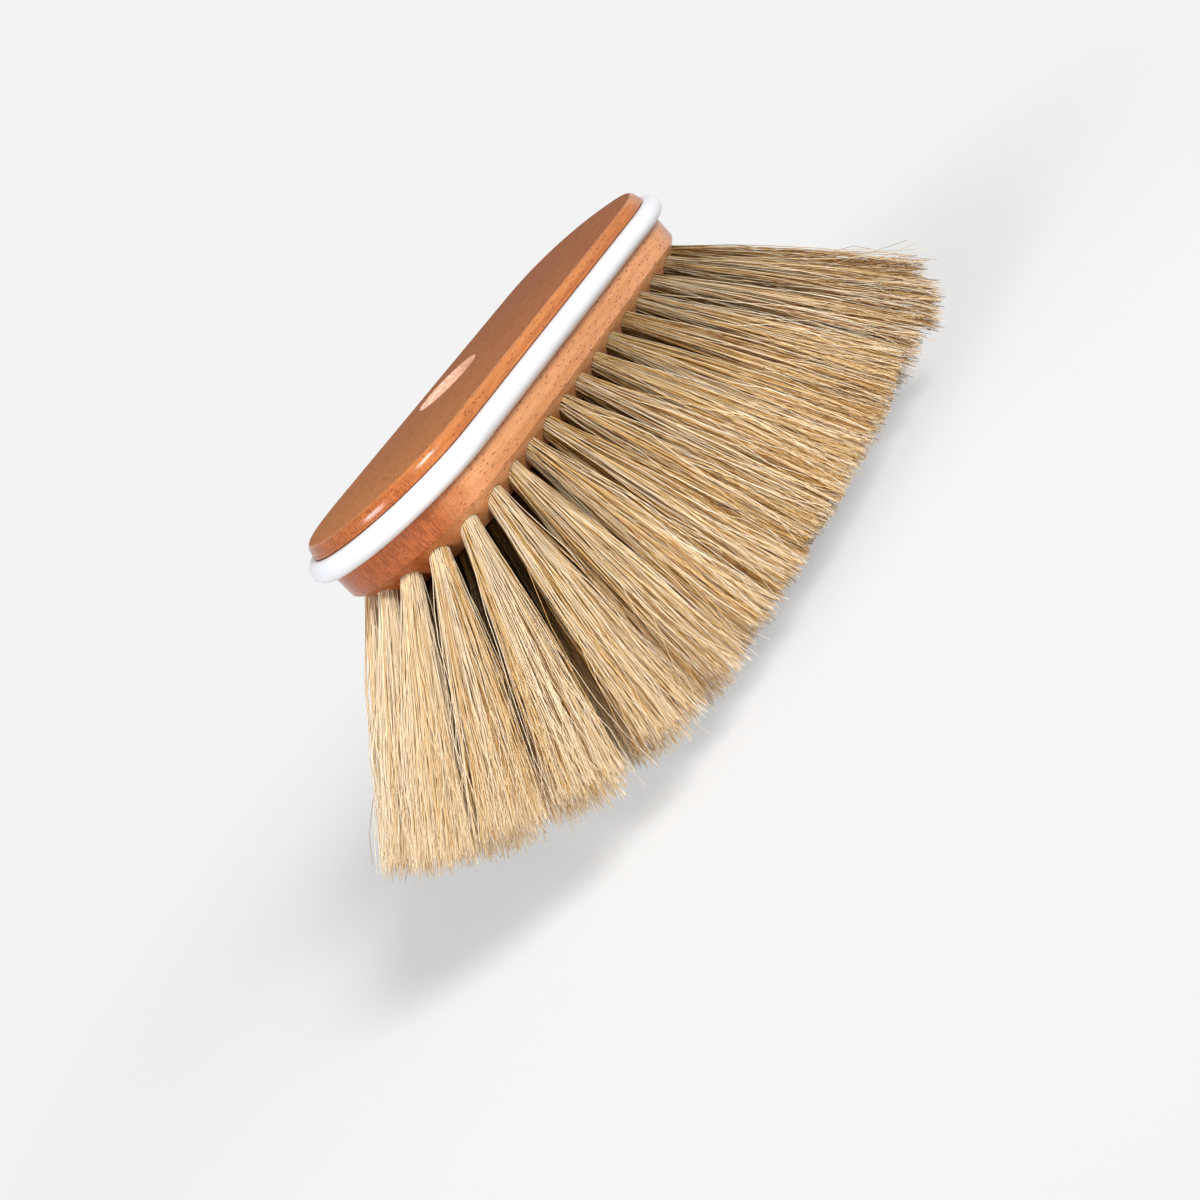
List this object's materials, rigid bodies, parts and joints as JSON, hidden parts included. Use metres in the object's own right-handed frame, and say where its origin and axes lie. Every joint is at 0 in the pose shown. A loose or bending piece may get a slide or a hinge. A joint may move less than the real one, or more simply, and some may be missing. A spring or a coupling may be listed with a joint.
{
  "type": "truck wash brush",
  "caption": "Oval beech wash brush head with a white edge bumper, a slanted handle socket in its back and long tufts that lean outwards all round.",
  "frame": {"origin": "middle of the oval in plan, level with the trimmed tips that the brush stands on", "axes": "+X along the block, away from the end that the handle leans over; +Z from the tips up through the back of the block; +Y across the block"},
  "size_m": [0.3624, 0.1748, 0.1316],
  "materials": {
    "cover_wood": "satin",
    "board_wood": "satin",
    "dowel_wood": "matte",
    "bumper": "gloss",
    "bristle": "matte",
    "wire": "satin"
  },
  "bodies": {
    "root": {"cover_board": "cover_wood", "bristle_board": "board_wood", "bumper_strip": "bumper", "dowel_left": "dowel_wood", "dowel_right": "dowel_wood", "dowel_front": "dowel_wood", "dowel_back": "dowel_wood", "drawing_wire_outer": "wire", "drawing_wire_middle": "wire", "drawing_wire_inner_left": "wire", "drawing_wire_inner_right": "wire", "outer_tufts_01": "bristle", "outer_tufts_02": "bristle", "outer_tufts_03": "bristle", "outer_tufts_04": "bristle", "outer_tufts_05": "bristle", "outer_tufts_06": "bristle", "outer_tufts_07": "bristle", "outer_tufts_08": "bristle", "outer_tufts_09": "bristle", "outer_tufts_10": "bristle", "outer_tufts_11": "bristle", "outer_tufts_12": "bristle", "middle_tufts_01": "bristle", "middle_tufts_02": "bristle", "middle_tufts_03": "bristle", "middle_tufts_04": "bristle", "middle_tufts_05": "bristle", "middle_tufts_06": "bristle", "middle_tufts_07": "bristle", "middle_tufts_08": "bristle", "middle_tufts_09": "bristle", "middle_tufts_10": "bristle", "inner_tufts_left": "bristle", "inner_tufts_right": "bristle"}
  },
  "joints": []
}
